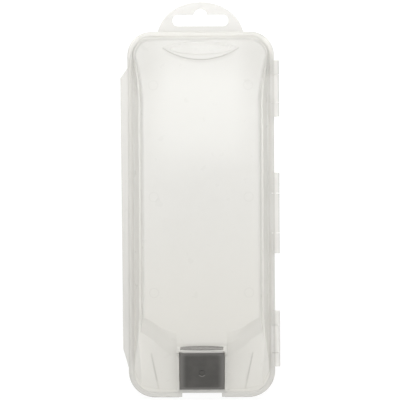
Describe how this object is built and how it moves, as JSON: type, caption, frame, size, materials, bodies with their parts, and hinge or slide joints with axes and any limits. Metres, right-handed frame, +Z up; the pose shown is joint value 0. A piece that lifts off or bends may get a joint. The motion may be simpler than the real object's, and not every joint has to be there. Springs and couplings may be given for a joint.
{
  "type": "paint brush storage case",
  "caption": "Flat hinged storage case for a paint brush, with a waisted translucent lid, a snap latch at the sloping end, a thumb lip and a hang tab.",
  "frame": {"origin": "middle of the flat underside of the base, on the surface that the closed case lies on", "axes": "+Z up through the lid, +Y along the case towards the hang tab, +X towards the hinges"},
  "size_m": [0.111, 0.2763, 0.0371],
  "materials": {
    "natural_plastic": "translucent natural polypropylene, satin",
    "dark_plastic": "dark grey moulded plastic, satin",
    "pin_plastic": "natural plastic rod"
  },
  "bodies": {
    "case_base": {"base_shell": "natural_plastic", "hinge_pin_upper": "pin_plastic", "hinge_pin_middle": "pin_plastic", "hinge_pin_lower": "pin_plastic"},
    "lid": {"lid_shell": "natural_plastic"},
    "latch": {"latch_clip": "dark_plastic"}
  },
  "joints": [
    {"name": "lid_hinge", "type": "hinge", "parent": "case_base", "child": "lid", "pos_m": [0.0514, 0, 0.01865], "axis": [0, 1, 0], "range_deg": [0, 180]},
    {"name": "latch_hinge", "type": "hinge", "parent": "lid", "child": "latch", "pos_m": [0, -0.0942, 0.03188], "axis": [-1, 0, 0], "range_deg": [-1.5, 30]}
  ]
}
